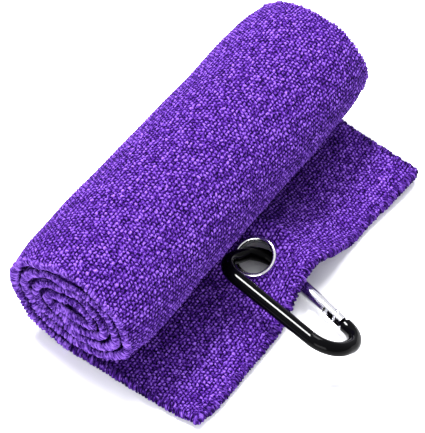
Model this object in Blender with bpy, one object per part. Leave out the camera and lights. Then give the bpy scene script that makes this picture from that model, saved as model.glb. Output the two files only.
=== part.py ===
"""Golf towel rolled up with a loose front flap, a metal eyelet and a snap clip."""
import math

import bmesh
import bpy
from mathutils import Matrix, Vector

MM = 0.001

# Towel, in millimetres
SHEET_HALF_WIDTH = 74.0      # cloth, half its width along X
SHEET_THICK = 3.0
HEM_WIDTH = 2.0              # overlocked edge beyond the cloth
GAP = 0.3                    # clearance kept between separate pieces
ROLL_HALF_WIDTH = 29.5       # middle of the cloth, outermost turn, along Y
ROLL_HALF_HEIGHT = 25.2      # the same along Z
TURN_PITCH = 5.0             # from one turn of the roll to the next
TURNS = 4.35
STEPS_PER_TURN = 40
FLAP_END = 54.0              # front end of the cloth, from under the roll's axis
FLAP_ROWS = 13
RIDGE_COLUMNS = 26
PLAIN_COLUMNS = 4
FRAME_SHIFT = 27.33          # puts the frame's origin under the middle of the whole

# Raised ridge of the flap over the clip
RIDGE_HEIGHT = 7.8
RIDGE_START = -24.0
RIDGE_TOP = 2.0
RIDGE_END = 36.0
RIDGE_GROWTH = 2.4           # how much higher it is at the front end
RIDGE_PULL = 1.9             # how far the ridge draws the front end back

# Eyelet
EYELET_X = -6.4
EYELET_Y = -31.2
EYELET_BORE = 6.6
EYELET_BARREL = 7.1
EYELET_RIM = 8.7
RIM_THICK = 0.7
SEAT_INNER = 13.0            # the cloth is pressed flat this far round the eyelet
SEAT_OUTER = 17.0
SEAT_THICK = 1.8

# Clip, in its own plane: U runs from hinge end to nose end, V from spine to gate
WIRE = 2.6
CLIP_LENGTH = 55.4
CLIP_WIDE = 27.0
CLIP_NARROW = 20.0
BEND = 9.6
PLANE_TILT = 30.0            # degrees the loop leans from level
CLIP_TURN = -10.0            # degrees the loop points away from straight ahead
GATE_X = 0.6
CLIP_Y = -28.2               # middle of the wire at the hinge end
PIVOT_U = 11.8
NOSE_U = 45.2
BLADE = 1.6
SLOT = 2.2
RIVET = 0.8
RIVET_HOLE = 1.1
PIN = 0.6
PIN_HOLE = 0.9
PLUNGER = 1.15
BORE = 1.5
SPRING_WIRE = 0.2


def smooth(t):
    t = min(1.0, max(0.0, t))
    return t * t * (3.0 - 2.0 * t)


def ridge(x, y):
    """Share of the ridge's full height, from 0 to 1; the ridge runs along the clip."""
    x -= (y - EYELET_Y) * math.tan(math.radians(-CLIP_TURN))
    rise = smooth((x - RIDGE_START) / (RIDGE_TOP - RIDGE_START))
    fall = 1.0 - smooth((x - RIDGE_TOP) / (RIDGE_END - RIDGE_TOP))
    return min(rise, fall)


def seat(x, y):
    """Share of the eyelet's seat at a place on the flap, 1 where the rims press."""
    reach = math.hypot(x - EYELET_X, y - EYELET_Y)
    return smooth((SEAT_OUTER - reach) / (SEAT_OUTER - SEAT_INNER))


def seat_height(x):
    """Height of the level seat that the eyelet is pressed on, leaning with the ridge."""
    span = 6.0
    low = ridge(EYELET_X - span, EYELET_Y)
    high = ridge(EYELET_X + span, EYELET_Y)
    middle = (low + high) / 2
    return RIDGE_HEIGHT * (middle + (high - low) * (x - EYELET_X) / (2 * span))


def flap_point(x, y):
    """Middle of the cloth on the flap."""
    out = smooth((-y - 9.0) / 15.0)
    pull = smooth((-y - 40.0) / 14.0) * RIDGE_PULL * ridge(x, y)
    height = RIDGE_HEIGHT + RIDGE_GROWTH * smooth((-y - 42.0) / 12.0)
    rise = height * ridge(x, y) * out
    return y + pull, SHEET_THICK / 2 + rise + (seat_height(x) - rise) * seat(x, y)


def flap_half_thick(x, y):
    """Half the cloth's thickness on the flap, pressed thinner under the eyelet's rims."""
    return (SHEET_THICK - (SHEET_THICK - SEAT_THICK) * seat(x, y)) / 2


def roll_frame(turn):
    """Middle point and outward normal of the rolled cloth; turn 0 is under the roll."""
    angle = -math.pi / 2 + 2 * math.pi * turn
    a = ROLL_HALF_WIDTH - TURN_PITCH * turn
    b = ROLL_HALF_HEIGHT - TURN_PITCH * turn
    centre = SHEET_THICK / 2 + ROLL_HALF_HEIGHT
    normal = Vector((0, b * math.cos(angle), a * math.sin(angle))).normalized()
    return (a * math.cos(angle), centre + b * math.sin(angle)), normal


def finish(name, bm, colour, metallic=0.0, roughness=0.8, place=None):
    """Makes an object of a mesh given in millimetres, with its own material."""
    bmesh.ops.recalc_face_normals(bm, faces=bm.faces)
    mesh = bpy.data.meshes.new(name)
    bm.to_mesh(mesh)
    bm.free()
    mesh.transform(Matrix.Scale(MM, 4))
    obj = bpy.data.objects.new(name, mesh)
    bpy.context.scene.collection.objects.link(obj)
    material = bpy.data.materials.new(name)
    material.use_nodes = True
    shader = material.node_tree.nodes["Principled BSDF"]
    shader.inputs["Base Color"].default_value = (*colour, 1.0)
    shader.inputs["Metallic"].default_value = metallic
    shader.inputs["Roughness"].default_value = roughness
    mesh.materials.append(material)
    if place is not None:
        obj.matrix_world = place
    return obj


def cut(target, cutter, operation="DIFFERENCE"):
    """Adds an exact boolean and hides the piece it uses."""
    modifier = target.modifiers.new(cutter.name, "BOOLEAN")
    modifier.operation = operation
    modifier.solver = "EXACT"
    modifier.object = cutter
    cutter.hide_render = True
    cutter.display_type = "WIRE"


def strip(bm, rows):
    """Closes a solid round rows of (upper, lower) point lists; rows may differ in count."""
    layers = [[[bm.verts.new(p) for p in side] for side in row] for row in rows]
    for (up_a, low_a), (up_b, low_b) in zip(layers, layers[1:]):
        for a, b in ((up_a, up_b), (low_a, low_b)):
            if len(a) == len(b):
                for k in range(len(a) - 1):
                    bm.faces.new((a[k], a[k + 1], b[k + 1], b[k]))
            else:
                bm.faces.new(list(a) + list(reversed(b)))
        bm.faces.new((up_a[0], up_b[0], low_b[0], low_a[0]))
        bm.faces.new((up_a[-1], low_a[-1], low_b[-1], up_b[-1]))
    for up, low in (layers[0], layers[-1]):
        for k in range(len(up) - 1):
            bm.faces.new((up[k], low[k], low[k + 1], up[k + 1]))


def spread(start, end, count):
    return [start + (end - start) * k / count for k in range(count)]


def columns(half):
    """Places across the flap, closer together over the ridge."""
    left = spread(-half, RIDGE_START, PLAIN_COLUMNS)
    middle = spread(RIDGE_START, RIDGE_END, RIDGE_COLUMNS)
    return left + middle + spread(RIDGE_END, half, PLAIN_COLUMNS) + [half]


def flap_row(xs, y):
    upper = []
    lower = []
    for x in xs:
        py, pz = flap_point(x, y)
        half = flap_half_thick(x, y)
        upper.append((x, py + FRAME_SHIFT, pz + half))
        lower.append((x, py + FRAME_SHIFT, pz - half))
    return upper, lower


def roll_row(xs, turn):
    (y, z), normal = roll_frame(turn)
    h = SHEET_THICK / 2
    inner = [(x, y - normal.y * h + FRAME_SHIFT, z - normal.z * h) for x in xs]
    outer = [(x, y + normal.y * h + FRAME_SHIFT, z + normal.z * h) for x in xs]
    return inner, outer


def cloth_rows(xs_flap, xs_roll, last_turn, first_y):
    rows = []
    for k in range(FLAP_ROWS + 1):
        rows.append(flap_row(xs_flap, first_y + (-9.0 - first_y) * k / FLAP_ROWS))
    steps = int(round(last_turn * STEPS_PER_TURN))
    for k in range(steps + 1):
        rows.append(roll_row(xs_roll, last_turn * k / steps))
    return rows


def make_towel():
    violet = (0.16, 0.06, 0.52)
    thread = (0.12, 0.04, 0.42)
    wide = columns(SHEET_HALF_WIDTH)
    ends = [-SHEET_HALF_WIDTH, SHEET_HALF_WIDTH]
    bm = bmesh.new()
    strip(bm, cloth_rows(wide, ends, TURNS, -FLAP_END))
    sheet = finish("towel_sheet", bm, violet)
    for side, name in ((-1, "hem_left"), (1, "hem_right")):
        near = side * (SHEET_HALF_WIDTH + GAP)
        far = side * (SHEET_HALF_WIDTH + GAP + HEM_WIDTH)
        edge = sorted((near, far))
        bm = bmesh.new()
        strip(bm, cloth_rows(edge, edge, TURNS, -FLAP_END))
        finish(name, bm, thread)
    bm = bmesh.new()
    front = columns(SHEET_HALF_WIDTH + GAP + HEM_WIDTH)
    strip(bm, [flap_row(front, -FLAP_END - GAP - HEM_WIDTH), flap_row(front, -FLAP_END - GAP)])
    finish("hem_front", bm, thread)
    bm = bmesh.new()
    length = math.hypot(*[a - b for a, b in zip(roll_frame(TURNS)[0], roll_frame(TURNS + 0.01)[0])])
    start = TURNS + 0.01 * GAP / length
    end = start + 0.01 * HEM_WIDTH / length
    inner_edge = [-SHEET_HALF_WIDTH - GAP - HEM_WIDTH, SHEET_HALF_WIDTH + GAP + HEM_WIDTH]
    strip(bm, [roll_row(inner_edge, start), roll_row(inner_edge, end)])
    finish("hem_inner", bm, thread)
    return sheet


def lathe(profile, segments=32):
    """Solid of revolution about Z from a closed profile of (radius, height) points."""
    bm = bmesh.new()
    rings = []
    for k in range(segments):
        t = 2 * math.pi * k / segments
        rings.append([bm.verts.new((r * math.cos(t), r * math.sin(t), h)) for r, h in profile])
    count = len(profile)
    for k in range(segments):
        a, b = rings[k], rings[(k + 1) % segments]
        for j in range(count):
            bm.faces.new((a[j], b[j], b[(j + 1) % count], a[(j + 1) % count]))
    return bm


def eyelet_frame():
    """Axis of the eyelet, square to the cloth where it sits."""
    _, low = flap_point(EYELET_X - 6.0, EYELET_Y)
    _, high = flap_point(EYELET_X + 6.0, EYELET_Y)
    _, middle = flap_point(EYELET_X, EYELET_Y)
    lean = -math.atan2(high - low, 12.0)
    spot = Vector((EYELET_X, EYELET_Y + FRAME_SHIFT, middle)) * MM
    return Matrix.Translation(spot) @ Matrix.Rotation(lean, 4, "Y")


def make_eyelet(sheet):
    frame = eyelet_frame()
    steel = (0.75, 0.75, 0.77)
    low = -SEAT_THICK / 2 - 0.35
    top = SEAT_THICK / 2 + 0.35
    profile = [
        (EYELET_BORE, low - RIM_THICK - 0.2),
        (EYELET_BARREL, low - RIM_THICK - 0.2),
        (EYELET_BARREL, top),
        (EYELET_RIM, top),
        (EYELET_RIM - 0.4, top + RIM_THICK * 0.8),
        (EYELET_RIM - 1.3, top + RIM_THICK),
        (EYELET_BORE + 0.5, top + RIM_THICK * 0.9),
        (EYELET_BORE, top + RIM_THICK * 0.4),
    ]
    finish("eyelet_front", lathe(profile), steel, 1.0, 0.2, frame)
    washer = [
        (EYELET_BARREL + GAP, low - RIM_THICK),
        (EYELET_RIM, low - RIM_THICK),
        (EYELET_RIM, low),
        (EYELET_BARREL + GAP, low),
    ]
    finish("eyelet_back", lathe(washer), steel, 1.0, 0.25, frame)
    bm = bmesh.new()
    bmesh.ops.create_cone(bm, cap_ends=True, segments=32, radius1=EYELET_BARREL + GAP,
                          radius2=EYELET_BARREL + GAP, depth=20.0)
    cutter = finish("cut_eyelet_hole", bm, steel, place=frame)
    cut(sheet, cutter)


def clip_matrix():
    """Clip plane: U along -Y, V down towards +X, W square to the loop."""
    tilt = math.radians(PLANE_TILT)
    u = Vector((0, -1, 0))
    v = Vector((math.cos(tilt), 0, -math.sin(tilt)))
    w = u.cross(v)
    rise = WIRE + 0.1
    spine = Vector((GATE_X, CLIP_Y + FRAME_SHIFT, rise)) - v * CLIP_WIDE
    lean = Matrix.Translation(spine * MM) @ Matrix((u, v, w)).transposed().to_4x4()
    centre = Matrix.Translation(Vector((EYELET_X, EYELET_Y + FRAME_SHIFT, 0)) * MM)
    return centre @ Matrix.Rotation(math.radians(CLIP_TURN), 4, "Z") @ centre.inverted() @ lean


def arc(centre, start, end, count=10):
    points = []
    for k in range(count + 1):
        t = math.radians(start + (end - start) * k / count)
        points.append(Vector((centre[0] + BEND * math.cos(t), centre[1] + BEND * math.sin(t), 0)))
    return points


def gate_line(u):
    """V of the gate side at u: the loop narrows towards the nose."""
    return CLIP_WIDE + (CLIP_NARROW - CLIP_WIDE) * u / CLIP_LENGTH


def tube(path, radius, segments=16):
    """Round bar along a path; the rings stay square to it."""
    bm = bmesh.new()
    rings = []
    for k, p in enumerate(path):
        ahead = path[min(k + 1, len(path) - 1)] - path[max(k - 1, 0)]
        ahead.normalize()
        across = ahead.cross(Vector((0, 0, 1)))
        if across.length < 0.5:
            across = ahead.cross(Vector((0, 1, 0)))
        across.normalize()
        up = across.cross(ahead)
        ring = []
        for j in range(segments):
            t = 2 * math.pi * (j + 0.5) / segments
            ring.append(bm.verts.new(p + across * radius * math.cos(t) + up * radius * math.sin(t)))
        rings.append(ring)
    for a, b in zip(rings, rings[1:]):
        for j in range(segments):
            n = (j + 1) % segments
            bm.faces.new((a[j], a[n], b[n], b[j]))
    bm.faces.new(rings[0])
    bm.faces.new(rings[-1])
    return bm


def block(name, low, high, place):
    """Box between two corners, in the clip's plane."""
    bm = bmesh.new()
    size = Vector(high) - Vector(low)
    bmesh.ops.create_cube(bm, size=1.0)
    bmesh.ops.scale(bm, vec=size, verts=bm.verts)
    bmesh.ops.translate(bm, vec=Vector(low) + size / 2, verts=bm.verts)
    return finish(name, bm, (0.1, 0.1, 0.1), place=place)


def bar(name, centre, radius, length, place, colour=(0.1, 0.1, 0.1), metallic=0.0, axis="W"):
    """Round pin about a point, along W or U."""
    bm = bmesh.new()
    bmesh.ops.create_cone(bm, cap_ends=True, segments=20, radius1=radius, radius2=radius,
                          depth=length)
    if axis == "U":
        bmesh.ops.rotate(bm, matrix=Matrix.Rotation(math.pi / 2, 3, "Y"), verts=bm.verts)
    bmesh.ops.translate(bm, vec=Vector(centre), verts=bm.verts)
    return finish(name, bm, colour, metallic, 0.25, place)


def make_clip():
    place = clip_matrix()
    black = (0.01, 0.01, 0.012)
    steel = (0.78, 0.78, 0.8)
    pivot_v = gate_line(PIVOT_U)
    nose_v = gate_line(NOSE_U)
    narrow = gate_line(CLIP_LENGTH - BEND)
    path = arc((BEND, gate_line(BEND) - BEND), 102, 180)
    path += arc((BEND, BEND), 180, 270)
    path += arc((CLIP_LENGTH - BEND, BEND), 270, 360)
    path += arc((CLIP_LENGTH - BEND, narrow - BEND), 0, 88)
    body = finish("clip_body", tube(path, WIRE), black, 0.3, 0.15, place)
    hinge = place @ Matrix.Translation(Vector((PIVOT_U, pivot_v, 0)) * MM)
    lean = math.atan2(nose_v - pivot_v, NOSE_U - PIVOT_U)
    gate_place = hinge @ Matrix.Rotation(lean, 4, "Z")
    nose = math.hypot(NOSE_U - PIVOT_U, nose_v - pivot_v)
    tang = block("add_tang", (-6.5, -2.2, -BLADE / 2), (2.3, 2.2, BLADE / 2), gate_place)
    cut(body, tang, "UNION")
    tongue = block("add_tongue", (nose - 7.4, -1.4, -BLADE / 2), (nose + 3.0, 2.0, BLADE / 2),
                   gate_place)
    cut(body, tongue, "UNION")
    notch = block("cut_latch_notch", (nose - 5.4, -2.4, -2.0), (nose - 3.2, 0.9, 2.0), gate_place)
    cut(body, notch)
    cut(body, bar("cut_tang_hole", (0, 0, 0), RIVET_HOLE, 4.0, gate_place))

    length = nose - 0.4
    gate = finish("gate", tube([Vector((-2.5, 0, 0)), Vector((length, 0, 0))], WIRE), steel,
                  1.0, 0.15, gate_place)
    cut(gate, block("cut_hinge_slot", (-4.0, -4.0, -SLOT / 2), (3.8, 4.0, SLOT / 2), gate_place))
    cut(gate, block("cut_nose_slot", (length - 8.6, -4.0, -SLOT / 2),
                    (length + 2.0, 4.0, SLOT / 2), gate_place))
    cut(gate, bar("cut_pivot_hole", (0, 0, 0), RIVET_HOLE, 9.0, gate_place))
    pin_u = length + 0.4 - 4.3
    cut(gate, bar("cut_pin_hole", (pin_u, 0, 0), PIN_HOLE, 9.0, gate_place))
    cut(gate, bar("cut_spring_bore", (10.0, 0, 0), BORE, 14.0, gate_place, axis="U"))
    bar("gate_pivot_rivet", (0, 0, 0), RIVET, 2 * WIRE + 0.6, gate_place, steel, 1.0)
    bar("gate_latch_pin", (pin_u, 0, 0), PIN, 2 * WIRE, gate_place, steel, 1.0)
    bar("spring_plunger", (5.6, 0, 0), PLUNGER, 3.0, gate_place, steel, 1.0, axis="U")
    coil = []
    for k in range(85):
        t = 2 * math.pi * k / 12
        coil.append(Vector((7.7 + 0.1 * k, 0.85 * math.cos(t), 0.85 * math.sin(t))))
    finish("gate_spring", tube(coil, SPRING_WIRE, 6), steel, 1.0, 0.3, gate_place)


for old in list(bpy.data.objects):
    bpy.data.objects.remove(old, do_unlink=True)
towel = make_towel()
make_eyelet(towel)
make_clip()
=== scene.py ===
import math

import bmesh
import bpy
import numpy as np
from mathutils import Matrix, Vector


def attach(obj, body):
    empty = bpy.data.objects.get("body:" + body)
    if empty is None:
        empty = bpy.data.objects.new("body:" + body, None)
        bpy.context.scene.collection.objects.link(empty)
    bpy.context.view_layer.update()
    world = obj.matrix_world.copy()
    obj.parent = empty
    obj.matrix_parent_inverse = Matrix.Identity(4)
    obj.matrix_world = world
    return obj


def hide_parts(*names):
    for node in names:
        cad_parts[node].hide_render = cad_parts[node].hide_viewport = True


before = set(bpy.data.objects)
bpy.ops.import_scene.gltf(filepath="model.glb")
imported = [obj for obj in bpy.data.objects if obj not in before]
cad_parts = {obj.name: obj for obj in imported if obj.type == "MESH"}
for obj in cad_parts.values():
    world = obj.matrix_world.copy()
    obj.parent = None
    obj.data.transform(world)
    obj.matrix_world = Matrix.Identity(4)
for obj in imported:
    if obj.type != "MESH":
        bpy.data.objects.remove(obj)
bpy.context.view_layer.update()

MM = 0.001

# The towel's strip, in millimetres: X across, S along from the flap's front end
HALF_WIDTH = 74.8
THICK = 3.0
FLAP = 55.2
ROLL_A = 29.3
ROLL_B = 25.2
ROLL_AHEAD = 1.2
PITCH = 5.0
TURNS = 4.35
SHIFT = 27.33
DENSE = 0.38
SPARSE = 3.0
LOWEST = 0.02
PILE_DEPTH = 0.62
LOOP_ACROSS = 1.5
LOOP_ALONG = 1.4
STITCH_PITCH = 1.45

# How far the flap and the roll depart from a plain strip and a plain oval
FLAP_NARROWING = 9.4
FLAP_AHEAD = 3.0
FAR_LIFT = 1.6
FLAP_WAVE = 0.5
CORNER_IN = 0.9
CORNER_BACK = 1.6
END_TAPER = 1.9
ROLL_UNEVEN = 0.35
ROLL_FAR = 1.2
EDGE_UNEVEN = 0.7

# The raised ridge over the clip and the eyelet's seat
RIDGE_HEIGHT = 7.8
RIDGE_GROWTH = 2.4
RIDGE_START = -24.0
RIDGE_TOP = 2.0
RIDGE_END = 36.0
RIDGE_PULL = 2.4
EYELET = (-6.4, -31.2)
SEAT_INNER = 13.0
SEAT_OUTER = 17.0
SEAT_THICK = 1.8
SEAT_SPAN = 6.0
HOLE_RADIUS = 7.4
EYELET_BORE = 6.45
EYELET_BARREL = 6.9
RIM_TUBE = 0.8
WASHER_RING = 7.95

# The clip's own plane
WIRE = 2.6
CLIP_LENGTH = 55.4
CLIP_WIDE = 27.0
CLIP_NARROW = 20.0
BEND = 9.6
PLANE_TILT = 30.0
CLIP_TURN = -10.0
GATE_X = 0.6
CLIP_Y = -28.2
PIVOT_U = 11.8
NOSE_U = 45.2
BLADE = 1.6
SLOT = 2.2
NOSE_GAP = 0.4
PIN_INSET = 4.3
COIL_START = 7.7
COIL_LENGTH = 8.4
COIL_RADIUS = 0.85
COIL_TURNS = 7

# The camera: its lens in mm, its angles in degrees, and its place from the roll's middle in mm
FOCAL = 142.15
VIEW_UP = 52.15
VIEW_TURN = 54.52
VIEW_ROLL = -0.26
VIEW_SIDE = 6.06
VIEW_LIFT = 0.92
VIEW_AWAY = 648.3


# ---------------------------------------------------------------- shape of the cloth

def smooth(t):
    t = np.clip(t, 0.0, 1.0)
    return t * t * (3.0 - 2.0 * t)


def wobble(a, b, seed):
    """Slow uneven wave over two coordinates, about -1 to 1."""
    total = np.sin(0.071 * a + 0.113 * b + seed)
    total = total + np.sin(-0.137 * a + 0.059 * b + 2.3 * seed)
    total = total + 0.6 * np.sin(0.211 * a + 0.187 * b + 4.1 * seed)
    return total / 2.6


def ridge(x, y):
    x = x - (y - EYELET[1]) * math.tan(math.radians(-CLIP_TURN))
    rise = smooth((x - RIDGE_START) / (RIDGE_TOP - RIDGE_START))
    fall = 1.0 - smooth((x - RIDGE_TOP) / (RIDGE_END - RIDGE_TOP))
    return np.minimum(rise, fall)


def seat(x, y):
    reach = np.hypot(x - EYELET[0], y - EYELET[1])
    return smooth((SEAT_OUTER - reach) / (SEAT_OUTER - SEAT_INNER))


def seat_height(x):
    """Height of the straight slope that the ridge is flattened to round the eyelet."""
    low = ridge(np.array(EYELET[0] - SEAT_SPAN), np.array(EYELET[1]))
    high = ridge(np.array(EYELET[0] + SEAT_SPAN), np.array(EYELET[1]))
    along = (x - EYELET[0]) / (2 * SEAT_SPAN)
    return RIDGE_HEIGHT * ((low + high) / 2 + (high - low) * along)


def flap_middle(x, y):
    """Middle of the cloth on the flap, y from 0 under the roll to -FLAP."""
    out = smooth((-y - 9.0) / 15.0)
    lift = ridge(x, y)
    height = RIDGE_HEIGHT + RIDGE_GROWTH * smooth((-y - 42.0) / 12.0)
    near_side = 1.0 - 0.75 * smooth((x - 2.0) / 12.0)
    pull = smooth((-y - 40.0) / 14.0) * RIDGE_PULL * lift * near_side
    rise = height * lift * out
    pressed = seat(x, y)
    z = THICK / 2 + rise + (seat_height(x) - rise) * pressed
    far = smooth((x - 28.0) / 47.0)
    z = z + FAR_LIFT * far * smooth((-y - 26.0) / 26.0) * (1.0 - pressed)
    wave = FLAP_WAVE * (1.0 + wobble(3 * x, 3 * y, 5.0))
    z = z + wave * smooth((-y - 30.0) / 20.0) * (1.0 - pressed)
    narrow = FLAP_NARROWING * np.clip(-y / FLAP, 0, 1) * smooth((x + 4.0) / 79.0)
    ahead = FLAP_AHEAD * smooth(-y / FLAP) * smooth((x - 30.0) / 45.0)
    corner = smooth((-x - 60.0) / 15.0) * smooth((-y - 41.0) / 14.0)
    return x - narrow + CORNER_IN * corner, y + pull - ahead + CORNER_BACK * corner, z


def spiral_lengths(turns):
    """Length of cloth used up after each of the given turns of the oval spiral."""
    angle = -math.pi / 2 + 2 * math.pi * turns
    y = (ROLL_A - PITCH * turns) * np.cos(angle)
    z = (ROLL_B - PITCH * turns) * np.sin(angle)
    return np.concatenate([[0.0], np.cumsum(np.hypot(np.diff(y), np.diff(z)))])


TABLE_TURNS = np.linspace(0.0, TURNS, 1400)
TABLE_LENGTH = spiral_lengths(TABLE_TURNS)
STRIP_LENGTH = FLAP + float(TABLE_LENGTH[-1])


def roll_middle(x, s):
    """Middle of the cloth in the roll, s from 0 at the bottom of the outer turn."""
    turn = np.interp(s, TABLE_LENGTH, TABLE_TURNS)
    angle = -math.pi / 2 + 2 * math.pi * turn
    held = smooth(turn / 0.3)
    end = smooth((np.abs(x) - 58.0) / 18.0)
    inward = (END_TAPER * end * end + ROLL_UNEVEN * wobble(x, s, 1.0)) * held
    a = ROLL_A - PITCH * turn - inward
    b = ROLL_B - PITCH * turn - inward
    centre = THICK / 2 + ROLL_B
    x = x + ROLL_FAR * smooth(x / 70.0) * held
    return x, a * np.cos(angle) - ROLL_AHEAD * held, centre + b * np.sin(angle)


def middle(x, s):
    """Middle of the cloth at x across and s along, as an array of points in millimetres."""
    x, s = np.broadcast_arrays(np.asarray(x, float), np.asarray(s, float))
    uneven = EDGE_UNEVEN * wobble(0 * s, 2.2 * s, 2.0) * smooth((s - FLAP) / 30.0)
    x = x + uneven * np.sign(x) * smooth((np.abs(x) - 60.0) / 15.0)
    fx, fy, fz = flap_middle(x, np.minimum(s - FLAP, 0.0))
    rx, ry, rz = roll_middle(x, np.maximum(s - FLAP, 0.0))
    flat = s < FLAP
    return np.stack([np.where(flat, fx, rx), np.where(flat, fy, ry) + SHIFT,
                     np.where(flat, fz, rz)], axis=-1)


def normal(x, s):
    """Towards the side that shows on top of the flap and inside the roll."""
    e = 0.2
    across = middle(np.asarray(x) + e, s) - middle(np.asarray(x) - e, s)
    along = middle(x, np.asarray(s) + e) - middle(x, np.asarray(s) - e)
    n = np.cross(across, along)
    return n / np.linalg.norm(n, axis=-1, keepdims=True)


def half_thick(x, s):
    pressed = seat(x, np.minimum(s - FLAP, 0.0)) * (s < FLAP)
    return (THICK - (THICK - SEAT_THICK) * pressed) / 2


def scatter(i, j, seed):
    """Repeatable value from 0 to 1 for each loop of the pile."""
    v = np.sin(i * 12.9898 + j * 78.233 + seed * 37.719) * 43758.5453
    return v - np.floor(v)


def loops(x, s, seed):
    """Height of the looped pile, 0 in the gaps and 1 on top of a loop; through the colour ramp it
    also paints shade in the gaps and light on the loop tops.
    """
    a = x / LOOP_ACROSS + 0.2 * wobble(7 * x, 5 * s, seed) + 0.22 * wobble(19 * x, 17 * s, seed + 1)
    b = s / LOOP_ALONG + 0.2 * wobble(6 * s, 7 * x, seed + 2) + 0.2 * wobble(17 * s, 21 * x, seed + 3)
    row = np.floor(b)
    a = a + 0.5 * np.mod(row, 2)
    cell = np.floor(a)
    shape = np.sqrt(np.abs(np.sin(math.pi * a) * np.sin(math.pi * b)))
    return shape * (0.64 + 0.36 * scatter(cell, row, seed))


# ---------------------------------------------------------------- materials

def material(name):
    m = bpy.data.materials.new(name)
    m.use_nodes = True
    return m, m.node_tree, m.node_tree.nodes["Principled BSDF"]


def node(tree, kind, **values):
    n = tree.nodes.new(kind)
    for key, value in values.items():
        setattr(n, key, value)
    return n


def ramp(tree, source, stops):
    n = tree.nodes.new("ShaderNodeValToRGB")
    while len(n.color_ramp.elements) < len(stops):
        n.color_ramp.elements.new(0.5)
    for element, (position, colour) in zip(n.color_ramp.elements, stops):
        element.position = position
        element.color = (*colour, 1.0)
    tree.links.new(source, n.inputs["Fac"])
    return n.outputs["Color"]


# Pile colours: the darkest is painted shade in the gaps between loops, the lightest is painted light
# on the loop tops, the middle one is the towel's own purple
CLOTH_GAP_SHADE = (0.003, 0.0001, 0.018)
CLOTH_MID = (0.052, 0.010, 0.19)
CLOTH_LOOP_TOP_LIGHT = (0.27, 0.12, 0.62)


def cloth_material(name, attribute, darker, fibre_scale):
    m, tree, shader = material(name)
    height = node(tree, "ShaderNodeAttribute", attribute_name=attribute)
    place = node(tree, "ShaderNodeUVMap", uv_map="weave")
    fibre = node(tree, "ShaderNodeTexNoise")
    fibre.inputs["Scale"].default_value = fibre_scale
    fibre.inputs["Detail"].default_value = 4.0
    fibre.inputs["Roughness"].default_value = 0.65
    tree.links.new(place.outputs["UV"], fibre.inputs["Vector"])
    patch = node(tree, "ShaderNodeTexNoise")
    patch.inputs["Scale"].default_value = fibre_scale * 0.13
    patch.inputs["Detail"].default_value = 2.0
    tree.links.new(place.outputs["UV"], patch.inputs["Vector"])
    level = node(tree, "ShaderNodeMath", operation="MULTIPLY_ADD")
    tree.links.new(fibre.outputs["Fac"], level.inputs[0])
    level.inputs[1].default_value = 1.5
    level.inputs[2].default_value = -0.75
    summed = node(tree, "ShaderNodeMath", operation="ADD")
    tree.links.new(height.outputs["Fac"], summed.inputs[0])
    tree.links.new(level.outputs["Value"], summed.inputs[1])
    spread = node(tree, "ShaderNodeMath", operation="MULTIPLY_ADD")
    tree.links.new(patch.outputs["Fac"], spread.inputs[0])
    spread.inputs[1].default_value = 0.16
    spread.inputs[2].default_value = -0.08
    final = node(tree, "ShaderNodeMath", operation="ADD")
    tree.links.new(summed.outputs["Value"], final.inputs[0])
    tree.links.new(spread.outputs["Value"], final.inputs[1])
    # Colour from the loop value: painted shade in the gaps, the towel's purple between, painted light
    # on the loop tops
    stops = [(0.26, [c * darker for c in CLOTH_GAP_SHADE]), (0.56, [c * darker for c in CLOTH_MID]),
             (0.98, [c * darker for c in CLOTH_LOOP_TOP_LIGHT])]
    tree.links.new(ramp(tree, final.outputs["Value"], stops), shader.inputs["Base Color"])
    bump = node(tree, "ShaderNodeBump")
    bump.inputs["Strength"].default_value = 0.7
    bump.inputs["Distance"].default_value = 0.0004
    tree.links.new(final.outputs["Value"], bump.inputs["Height"])
    tree.links.new(bump.outputs["Normal"], shader.inputs["Normal"])
    shader.inputs["Roughness"].default_value = 0.85
    shader.inputs["Specular IOR Level"].default_value = 0.03
    shader.inputs["Sheen Weight"].default_value = 0.04
    shader.inputs["Sheen Roughness"].default_value = 0.4
    shader.inputs["Sheen Tint"].default_value = (0.55, 0.40, 1.0, 1.0)
    return m


def metal_material(name, colour, roughness, wear_scale):
    m, tree, shader = material(name)
    where = node(tree, "ShaderNodeTexCoord")
    wear = node(tree, "ShaderNodeTexNoise")
    wear.inputs["Scale"].default_value = wear_scale
    wear.inputs["Detail"].default_value = 3.0
    tree.links.new(where.outputs["Object"], wear.inputs["Vector"])
    shade = node(tree, "ShaderNodeMapRange")
    shade.inputs["To Min"].default_value = roughness * 0.75
    shade.inputs["To Max"].default_value = roughness * 1.3
    tree.links.new(wear.outputs["Fac"], shade.inputs["Value"])
    tree.links.new(shade.outputs["Result"], shader.inputs["Roughness"])
    shader.inputs["Base Color"].default_value = (*colour, 1.0)
    shader.inputs["Metallic"].default_value = 1.0
    return m


def black_material():
    m, tree, shader = material("clip_gloss_black")
    where = node(tree, "ShaderNodeTexCoord")
    wear = node(tree, "ShaderNodeTexNoise")
    wear.inputs["Scale"].default_value = 900.0
    wear.inputs["Detail"].default_value = 2.0
    tree.links.new(where.outputs["Object"], wear.inputs["Vector"])
    bump = node(tree, "ShaderNodeBump")
    bump.inputs["Strength"].default_value = 0.12
    bump.inputs["Distance"].default_value = 0.00008
    tree.links.new(wear.outputs["Fac"], bump.inputs["Height"])
    tree.links.new(bump.outputs["Normal"], shader.inputs["Normal"])
    shader.inputs["Base Color"].default_value = (0.0004, 0.0004, 0.0005, 1.0)
    shader.inputs["Roughness"].default_value = 0.07
    shader.inputs["Specular IOR Level"].default_value = 0.05
    return m


# ---------------------------------------------------------------- meshes

def link(name, mesh, look, body, nodes):
    obj = bpy.data.objects.new(name, mesh)
    bpy.context.scene.collection.objects.link(obj)
    mesh.materials.append(look)
    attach(obj, body)
    if nodes:
        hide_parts(*nodes)
    return obj


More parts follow.
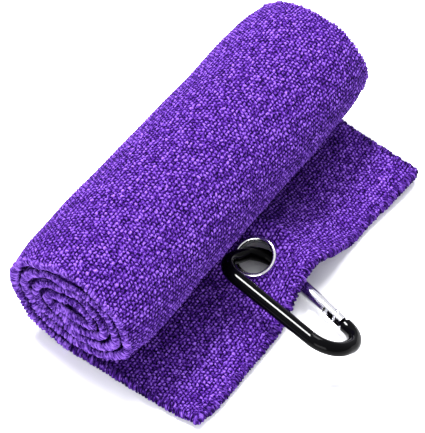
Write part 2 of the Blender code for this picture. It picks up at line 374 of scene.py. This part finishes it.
def array_mesh(name, points, faces, uv, height):
    """Mesh from numpy arrays: points in millimetres, faces as quads."""
    mesh = bpy.data.meshes.new(name)
    mesh.vertices.add(len(points))
    mesh.vertices.foreach_set("co", (points * MM).astype(np.float32).ravel())
    mesh.loops.add(faces.size)
    mesh.loops.foreach_set("vertex_index", faces.astype(np.int32).ravel())
    mesh.polygons.add(len(faces))
    mesh.polygons.foreach_set("loop_start", np.arange(0, faces.size, 4, dtype=np.int32))
    mesh.polygons.foreach_set("loop_total", np.full(len(faces), 4, dtype=np.int32))
    mesh.update(calc_edges=True)
    mesh.validate()
    mesh.polygons.foreach_set("use_smooth", np.full(len(mesh.polygons), True))
    layer = mesh.uv_layers.new(name="weave")
    layer.data.foreach_set("uv", uv[faces.ravel()].astype(np.float32).ravel())
    attribute = mesh.attributes.new("tone_and_painted_light", "FLOAT", "POINT")
    attribute.data.foreach_set("value", height.astype(np.float32))
    return mesh


def wall_faces(quads, keep, below):
    """Faces that join the top and the bottom round the strip's edge and round the hole."""
    rows, cols = keep.shape
    padded = np.zeros((rows + 2, cols + 2), bool)
    padded[1:-1, 1:-1] = keep
    walls = []
    for (di, dj), (first, second) in (((-1, 0), (0, 1)), ((0, 1), (1, 2)),
                                      ((1, 0), (2, 3)), ((0, -1), (3, 0))):
        beyond = padded[1 + di:rows + 1 + di, 1 + dj:cols + 1 + dj]
        edges = quads[keep & ~beyond]
        a = edges[:, first]
        b = edges[:, second]
        walls.append(np.stack([b, a, a + below, b + below], axis=-1))
    return walls


def make_cloth(look):
    step = DENSE
    xs = np.linspace(-HALF_WIDTH, HALF_WIDTH, int(2 * HALF_WIDTH / step) + 1)
    outside = FLAP + float(np.interp(1.3, TABLE_TURNS, TABLE_LENGTH))
    fine = np.linspace(0.0, outside, int(outside / step) + 1)
    coarse = np.linspace(outside, STRIP_LENGTH, int((STRIP_LENGTH - outside) / SPARSE) + 1)
    ss = np.concatenate([fine, coarse[1:]])
    sg, xg = np.meshgrid(ss, xs, indexing="ij")
    mid = middle(xg, sg)
    n = normal(xg, sg)
    half = half_thick(xg, sg)
    top_height = loops(xg, sg, 1.0)
    low_height = loops(xg, sg, 7.0)
    edge = np.minimum(smooth((HALF_WIDTH - np.abs(xg)) / 2.0 + 0.6), smooth(sg / 2.0 + 0.6))
    rim = 1.0 - 0.8 * seat(xg, sg - FLAP) * (sg < FLAP)
    top = mid + n * ((half - 0.25 + PILE_DEPTH * (top_height - 0.5) * rim) * edge)[..., None]
    low = mid - n * ((half - 0.25 + PILE_DEPTH * (low_height - 0.5) * rim) * edge)[..., None]
    rows, cols = xg.shape
    index = np.arange(rows * cols).reshape(rows, cols)
    flat_x = (xg[:-1, :-1] + xg[1:, 1:]) / 2
    flat_y = (sg[:-1, :-1] + sg[1:, 1:]) / 2 - FLAP
    keep = np.hypot(flat_x - EYELET[0], flat_y - EYELET[1]) > HOLE_RADIUS
    quads = np.stack([index[:-1, :-1], index[:-1, 1:], index[1:, 1:], index[1:, :-1]], axis=-1)
    upper = quads[keep]
    lower = upper[:, ::-1] + rows * cols
    walls = wall_faces(quads, keep, rows * cols)
    points = np.concatenate([top.reshape(-1, 3), low.reshape(-1, 3)])
    points[:, 2] = np.maximum(points[:, 2], LOWEST)
    uv = np.tile(np.stack([xg.ravel(), sg.ravel()], axis=-1), (2, 1))
    # The loop heights also set the colour: painted shade in the gaps and painted light on the loop
    # tops
    height = np.concatenate([top_height.ravel(), low_height.ravel()])
    faces = np.concatenate([upper, lower, *walls])
    used, faces = np.unique(faces, return_inverse=True)
    faces = faces.reshape(-1, 4)
    mesh = array_mesh("towel_cloth", points[used], faces, uv[used], height[used])
    return link("towel_cloth", mesh, look, "towel", ["towel_sheet"])


def tube_rings(path, radius, segments, up):
    """Rings of points round a path, for arrays of points; up is a steady side direction."""
    ahead = np.gradient(path, axis=0)
    ahead /= np.linalg.norm(ahead, axis=1, keepdims=True)
    across = np.cross(ahead, up)
    across /= np.linalg.norm(across, axis=1, keepdims=True) + 1e-12
    lift = np.cross(across, ahead)
    t = np.linspace(0, 2 * math.pi, segments, endpoint=False)
    ring = across[:, None] * np.cos(t)[None, :, None] + lift[:, None] * np.sin(t)[None, :, None]
    return path[:, None] + ring * np.asarray(radius).reshape(-1, 1, 1)


def ring_faces(count, segments, offset):
    i = np.arange(count - 1)[:, None]
    j = np.arange(segments)[None, :]
    n = (j + 1) % segments
    quads = np.stack([i * segments + j, i * segments + n, (i + 1) * segments + n,
                      (i + 1) * segments + j], axis=-1)
    return quads.reshape(-1, 4) + offset


def stitches(name, along_edge, inward, look, nodes, seed):
    """Overlock threads wrapped round an edge; along_edge gives (x, s), inward steps from it."""
    reach = np.array([2.9, 2.0, 1.1, 0.4, -0.05, -0.05, 0.4, 1.1, 2.0, 2.8])
    rise = np.array([0.9, 1.2, 1.25, 1.05, 0.45, -0.45, -1.0, -1.1, -1.05, -0.85])
    thick = np.array([0.3, 0.5, 0.58, 0.62, 0.66, 0.66, 0.62, 0.58, 0.48, 0.3])
    points = []
    faces = []
    uvs = []
    heights = []
    offset = 0
    segments = 7
    for k, (x, s, tx, ts) in enumerate(along_edge):
        jitter = scatter(np.array(k), np.array(3), seed) - 0.5
        bold = 0.8 + 0.4 * float(scatter(np.array(k), np.array(9), seed))
        on_flap = s < FLAP + 2.0
        tight = 1.0 if on_flap else 0.4
        slant = np.linspace(0.35, -0.35, len(reach)) + 0.5 * float(jitter)
        inside = np.where(reach > 0, reach * tight, reach * (0.4 + 0.6 * tight))
        px = x + inward[0] * inside + tx * slant
        ps = s + inward[1] * inside + ts * slant
        ps = np.clip(ps, -2.0, STRIP_LENGTH + 2.0)
        path = middle(px, ps) + normal(px, ps) * (rise * bold)[:, None]
        side = middle(x + tx * 0.5, s + ts * 0.5) - middle(x - tx * 0.5, s - ts * 0.5)
        side = side / np.linalg.norm(side)
        rings = tube_rings(path, thick * bold, segments, side)
        rings[..., 2] = np.maximum(rings[..., 2], LOWEST)
        count = len(path)
        points.append(rings.reshape(-1, 3))
        faces.append(ring_faces(count, segments, offset))
        turn = np.tile(np.arange(segments), count)
        uvs.append(np.stack([np.repeat(reach, segments) + turn * 0.7,
                             np.full(count * segments, k * 3.1)], axis=-1))
        speck = scatter(np.arange(count * segments), np.array(k), seed) - 0.5
        # Thread tone is darker on the flap and lighter on the roll; the lift on the roll is painted
        # light over the roll's shaded ends
        tone_lifted_on_roll = 0.24 + 0.22 * bold if on_flap else 0.32 + 0.36 * bold
        heights.append(tone_lifted_on_roll + 0.7 * speck)
        offset += count * segments
    mesh = array_mesh(name, np.concatenate(points), np.concatenate(faces),
                      np.concatenate(uvs), np.concatenate(heights))
    return link(name, mesh, look, "towel", nodes)


def make_hems(look):
    pieces = []
    side_s = np.arange(1.5, STRIP_LENGTH - 1.0, STITCH_PITCH)
    for sign, name, nodes in ((-1, "hem_left_threads", ["hem_left"]),
                              (1, "hem_right_threads", ["hem_right"])):
        edge = [(sign * HALF_WIDTH, s, 0.0, 1.0) for s in side_s]
        pieces.append(stitches(name, edge, (-sign, 0.0), look, nodes, 3.0 + sign))
    across = np.arange(-HALF_WIDTH + 1.0, HALF_WIDTH - 0.9, STITCH_PITCH)
    edge = [(x, 0.0, 1.0, 0.0) for x in across]
    pieces.append(stitches("hem_front_threads", edge, (0.0, 1.0), look, ["hem_front"], 11.0))
    edge = [(x, STRIP_LENGTH - 1.0, 1.0, 0.0) for x in across]
    pieces.append(stitches("hem_inner_threads", edge, (0.0, -1.0), look, ["hem_inner"], 17.0))
    return pieces


def lathe_mesh(name, profile, segments, frame_matrix):
    bm = bmesh.new()
    rings = []
    for k in range(segments):
        t = 2 * math.pi * k / segments
        rings.append([bm.verts.new((r * math.cos(t), r * math.sin(t), h)) for r, h in profile])
    for k in range(segments):
        a = rings[k]
        b = rings[(k + 1) % segments]
        for j in range(len(profile)):
            n = (j + 1) % len(profile)
            bm.faces.new((a[j], b[j], b[n], a[n]))
    bmesh.ops.recalc_face_normals(bm, faces=bm.faces)
    mesh = bpy.data.meshes.new(name)
    bm.to_mesh(mesh)
    bm.free()
    mesh.transform(frame_matrix @ Matrix.Scale(MM, 4))
    for p in mesh.polygons:
        p.use_smooth = True
    return mesh


def eyelet_frame():
    low = float(seat_height(EYELET[0] - SEAT_SPAN))
    high = float(seat_height(EYELET[0] + SEAT_SPAN))
    lean = -math.atan2(high - low, 2 * SEAT_SPAN)
    spot = Vector((EYELET[0], EYELET[1] + SHIFT, THICK / 2 + (low + high) / 2)) * MM
    return Matrix.Translation(spot) @ Matrix.Rotation(lean, 4, "Y")


def make_eyelet(look):
    place = eyelet_frame()
    front = [(EYELET_BORE, -1.9), (EYELET_BORE, 0.4)]
    for k in range(13):
        t = math.pi * k / 12
        radius = EYELET_BORE + RIM_TUBE - RIM_TUBE * math.cos(t)
        front.append((radius, 0.7 + RIM_TUBE * math.sin(t)))
    front += [(EYELET_BORE + 2 * RIM_TUBE, 0.5), (EYELET_BARREL + 0.3, 0.5)]
    front += [(EYELET_BARREL, 0.2), (EYELET_BARREL, -1.9)]
    mesh = lathe_mesh("eyelet_rim", front, 96, place)
    link("eyelet_rim", mesh, look, "towel", ["eyelet_front"])
    back = []
    for k in range(16):
        t = 2 * math.pi * k / 16
        back.append((WASHER_RING + 0.75 * math.cos(t), -1.55 + 0.4 * math.sin(t)))
    mesh = lathe_mesh("eyelet_washer", back, 64, place)
    link("eyelet_washer", mesh, look, "towel", ["eyelet_back"])


def clip_matrix():
    tilt = math.radians(PLANE_TILT)
    u = Vector((0, -1, 0))
    v = Vector((math.cos(tilt), 0, -math.sin(tilt)))
    w = u.cross(v)
    spine = Vector((GATE_X, CLIP_Y + SHIFT, WIRE + 0.1)) - v * CLIP_WIDE
    lean = Matrix.Translation(spine * MM) @ Matrix((u, v, w)).transposed().to_4x4()
    centre = Matrix.Translation(Vector((EYELET[0], EYELET[1] + SHIFT, 0)) * MM)
    return centre @ Matrix.Rotation(math.radians(CLIP_TURN), 4, "Z") @ centre.inverted() @ lean


def gate_line(u):
    return CLIP_WIDE + (CLIP_NARROW - CLIP_WIDE) * u / CLIP_LENGTH


def arc(centre, start, end, count=24):
    t = np.radians(np.linspace(start, end, count))
    return np.stack([centre[0] + BEND * np.cos(t), centre[1] + BEND * np.sin(t), 0 * t], axis=-1)


def solid(name, points_list, faces_list, place):
    bm = bmesh.new()
    verts = [bm.verts.new(p) for p in points_list]
    for f in faces_list:
        bm.faces.new([verts[i] for i in f])
    bmesh.ops.recalc_face_normals(bm, faces=bm.faces)
    mesh = bpy.data.meshes.new(name)
    bm.to_mesh(mesh)
    bm.free()
    mesh.transform(place @ Matrix.Scale(MM, 4))
    return mesh


def rod_mesh(name, path, radius, segments, place, dome=True):
    """Round bar along a path, with slightly domed ends if asked for."""
    path = np.asarray(path, float)
    radii = np.full(len(path), radius)
    if dome:
        for end, inner, at in ((path[0], path[1], 0), (path[-1], path[-2], -1)):
            direction = (end - inner) / np.linalg.norm(end - inner)
            tip = end + direction * 0.35
            path = np.concatenate([[tip], path]) if at == 0 else np.concatenate([path, [tip]])
            small = [radius - 0.35]
            radii = np.concatenate([small, radii]) if at == 0 else np.concatenate([radii, small])
    rings = tube_rings(path, radii, segments, np.array([0.0, 0.0, 1.0]))
    points = [tuple(p) for p in rings.reshape(-1, 3)]
    faces = [tuple(f) for f in ring_faces(len(path), segments, 0)]
    faces.append(tuple(range(segments)))
    faces.append(tuple(range((len(path) - 1) * segments, len(path) * segments)))
    mesh = solid(name, points, faces, place)
    for p in mesh.polygons:
        p.use_smooth = len(p.vertices) == 4
    return mesh


def box_mesh(name, low, high, place):
    x0, y0, z0 = low
    x1, y1, z1 = high
    points = [(x, y, z) for x in (x0, x1) for y in (y0, y1) for z in (z0, z1)]
    faces = [(0, 1, 3, 2), (4, 6, 7, 5), (0, 4, 5, 1), (2, 3, 7, 6), (0, 2, 6, 4), (1, 5, 7, 3)]
    return solid(name, points, faces, place)


def apply_cuts(obj, cutters, operations):
    """Cuts or joins one tool after another, then rounds the sharp edges a little."""
    for cutter, operation in zip(cutters, operations):
        tool = bpy.data.objects.new("tool", cutter)
        bpy.context.scene.collection.objects.link(tool)
        modifier = obj.modifiers.new("cut", "BOOLEAN")
        modifier.solver = "EXACT"
        modifier.operation = operation
        modifier.object = tool
        depsgraph = bpy.context.evaluated_depsgraph_get()
        result = bpy.data.meshes.new_from_object(obj.evaluated_get(depsgraph))
        obj.modifiers.clear()
        obj.data = result
        bpy.data.objects.remove(tool, do_unlink=True)
    bevel = obj.modifiers.new("edge_round", "BEVEL")
    bevel.width = 0.00018
    bevel.segments = 2
    bevel.limit_method = "ANGLE"
    bevel.angle_limit = math.radians(40)
    bevel.harden_normals = True


def gate_frame():
    """Frame on the gate's pivot with X along the gate, and the distance from there to the nose."""
    pivot_v = gate_line(PIVOT_U)
    nose_v = gate_line(NOSE_U)
    hinge = clip_matrix() @ Matrix.Translation(Vector((PIVOT_U, pivot_v, 0)) * MM)
    lean = math.atan2(nose_v - pivot_v, NOSE_U - PIVOT_U)
    return hinge @ Matrix.Rotation(lean, 4, "Z"), math.hypot(NOSE_U - PIVOT_U, nose_v - pivot_v)


def make_rod(look, gate_place, nose):
    """The bent wire, with a flat tang at the pivot and a notched tongue at the nose."""
    narrow = gate_line(CLIP_LENGTH - BEND)
    path = np.concatenate([
        arc((BEND, gate_line(BEND) - BEND), 102, 180)[:-1],
        arc((BEND, BEND), 180, 270),
        arc((CLIP_LENGTH - BEND, BEND), 270, 360),
        arc((CLIP_LENGTH - BEND, narrow - BEND), 0, 88)[1:],
    ])
    mesh = rod_mesh("clip_rod", path, WIRE, 48, clip_matrix())
    rod = link("clip_rod", mesh, look, "clip", ["clip_body"])
    half = BLADE / 2
    tools = [
        box_mesh("tang", (-6.5, -2.2, -half), (2.3, 2.2, half), gate_place),
        box_mesh("tongue", (nose - 7.4, -1.4, -half), (nose + 3.0, 2.0, half), gate_place),
        box_mesh("notch", (nose - 5.4, -2.4, -2.0), (nose - 3.2, 0.9, 2.0), gate_place),
    ]
    apply_cuts(rod, tools, ["UNION", "UNION", "DIFFERENCE"])


def make_gate(look, gate_place, nose):
    """The gate's bar, slotted at both ends round the rod's tang and tongue."""
    length = nose - NOSE_GAP
    straight = np.array([[-2.5, 0, 0], [4.0, 0, 0], [length / 2, 0, 0], [length, 0, 0]])
    mesh = rod_mesh("gate_bar", straight, WIRE - 0.05, 48, gate_place, False)
    gate = link("gate_bar", mesh, look, "gate", ["gate"])
    side = SLOT / 2
    tools = [
        box_mesh("hinge_slot", (-4.0, -4.0, -side), (3.8, 4.0, side), gate_place),
        box_mesh("nose_slot", (length - 8.6, -4.0, -side), (length + 2.0, 4.0, side), gate_place),
    ]
    apply_cuts(gate, tools, ["DIFFERENCE", "DIFFERENCE"])


def make_pins(look, gate_place, nose):
    for name, at, radius, reach, body, cad in (
            ("pivot_rivet", 0.0, 1.05, WIRE + 0.25, "clip", "gate_pivot_rivet"),
            ("latch_pin", nose - PIN_INSET, 1.0, WIRE + 0.2, "gate", "gate_latch_pin")):
        profile = [(0.001, -reach), (radius - 0.2, -reach), (radius, -reach + 0.2),
                   (radius, reach - 0.2), (radius - 0.2, reach), (0.001, reach)]
        where = gate_place @ Matrix.Translation(Vector((at, 0, 0)) * MM)
        mesh = lathe_mesh(name, profile, 32, where)
        link(name, mesh, look, body, [cad])


def make_spring(look, gate_place):
    """The coil inside the gate, and the plunger that it pushes."""
    t = np.linspace(0, COIL_TURNS * 2 * math.pi, 170)
    along = COIL_START + COIL_LENGTH * t / t[-1]
    coil = np.stack([along, COIL_RADIUS * np.cos(t), COIL_RADIUS * np.sin(t)], axis=-1)
    mesh = rod_mesh("spring_coil", coil, 0.2, 8, gate_place, False)
    link("spring_coil", mesh, look, "gate", ["gate_spring"])
    plunger = np.array([[4.1, 0, 0], [5.5, 0, 0], [7.1, 0, 0]])
    mesh = rod_mesh("plunger_rod", plunger, 1.15, 24, gate_place, False)
    link("plunger_rod", mesh, look, "gate", ["spring_plunger"])


def make_clip(black, steel):
    gate_place, nose = gate_frame()
    make_rod(black, gate_place, nose)
    make_gate(steel, gate_place, nose)
    make_pins(steel, gate_place, nose)
    make_spring(steel, gate_place)


# ---------------------------------------------------------------- stage, light, camera

def make_stage():
    mesh = bpy.data.meshes.new("floor")
    mesh.from_pydata([(-3, -3, -0.0002), (3, -3, -0.0002), (3, 3, -0.0002), (-3, 3, -0.0002)], [],
                     [(0, 1, 2, 3)])
    floor = bpy.data.objects.new("floor", mesh)
    bpy.context.scene.collection.objects.link(floor)
    m, tree, shader = material("floor_white")
    shader.inputs["Base Color"].default_value = (0.9, 0.9, 0.915, 1.0)
    shader.inputs["Roughness"].default_value = 0.6
    mesh.materials.append(m)


def area_light(name, spot, size, power, target=(0, 0, 0.015), colour=(1, 1, 1)):
    data = bpy.data.lights.new(name, "AREA")
    data.shape = "RECTANGLE"
    data.size = size[0]
    data.size_y = size[1]
    data.energy = power
    data.color = colour
    lamp = bpy.data.objects.new(name, data)
    bpy.context.scene.collection.objects.link(lamp)
    lamp.location = spot
    lamp.rotation_euler = (Vector(target) - Vector(spot)).to_track_quat("-Z", "Y").to_euler()
    return lamp


def make_light():
    world = bpy.data.worlds.new("studio")
    world.use_nodes = True
    world.node_tree.nodes["Background"].inputs["Color"].default_value = (0.93, 0.94, 1.0, 1.0)
    world.node_tree.nodes["Background"].inputs["Strength"].default_value = 0.88
    bpy.context.scene.world = world
    area_light("key", (0.14, 0.42, 0.95), (0.3, 0.3), 23.5)
    area_light("side", (0.55, 0.05, 0.75), (0.2, 0.5), 6.0)
    # A soft light for the gloss of the black rod, which the other pieces do not receive
    strip = area_light("strip", (0.04, 0.45, 0.90), (0.34, 0.4), 100.0)
    lit = bpy.data.collections.new("strip_lit")
    lit.objects.link(bpy.data.objects["clip_rod"])
    strip.light_linking.receiver_collection = lit
    area_light("fill", (-0.75, -0.30, 0.30), (0.6, 0.4), 6.0)
    bpy.context.scene.view_settings.view_transform = "Standard"
    bpy.context.scene.view_settings.look = "None"
    bpy.context.scene.view_settings.exposure = 0.0


def make_camera():
    up_angle = math.radians(VIEW_UP)
    turn = math.radians(VIEW_TURN)
    roll = math.radians(VIEW_ROLL)
    right = Vector((math.cos(turn), -math.sin(turn), 0))
    forward = Vector((math.sin(turn), math.cos(turn), 0))
    back = -forward * math.cos(up_angle) + Vector((0, 0, 1)) * math.sin(up_angle)
    up = forward * math.sin(up_angle) + Vector((0, 0, 1)) * math.cos(up_angle)
    side = right * math.cos(roll) + up * math.sin(roll)
    top = -right * math.sin(roll) + up * math.cos(roll)
    spot = (side * VIEW_SIDE + top * VIEW_LIFT + back * VIEW_AWAY + Vector((0, SHIFT, 0))) * MM
    data = bpy.data.cameras.new("camera")
    data.sensor_fit = "VERTICAL"
    data.sensor_height = 36.0
    data.lens = FOCAL
    data.clip_start = 0.01
    data.clip_end = 20.0
    camera = bpy.data.objects.new("camera", data)
    bpy.context.scene.collection.objects.link(camera)
    camera.matrix_world = Matrix.Translation(spot) @ Matrix((side, top, back)).transposed().to_4x4()
    bpy.context.scene.camera = camera


cloth_look = cloth_material("towel_looped_pile", "tone_and_painted_light", 1.0, 1.6)
thread_look = cloth_material("hem_thread_purple", "tone_and_painted_light", 1.0, 3.2)
eyelet_look = metal_material("eyelet_nickel", (0.82, 0.81, 0.80), 0.14, 500.0)
steel_look = metal_material("gate_polished_steel", (0.80, 0.80, 0.82), 0.12, 700.0)
towel = make_cloth(cloth_look)
hems = make_hems(thread_look)
make_eyelet(eyelet_look)
make_clip(black_material(), steel_look)
make_stage()
make_light()
make_camera()
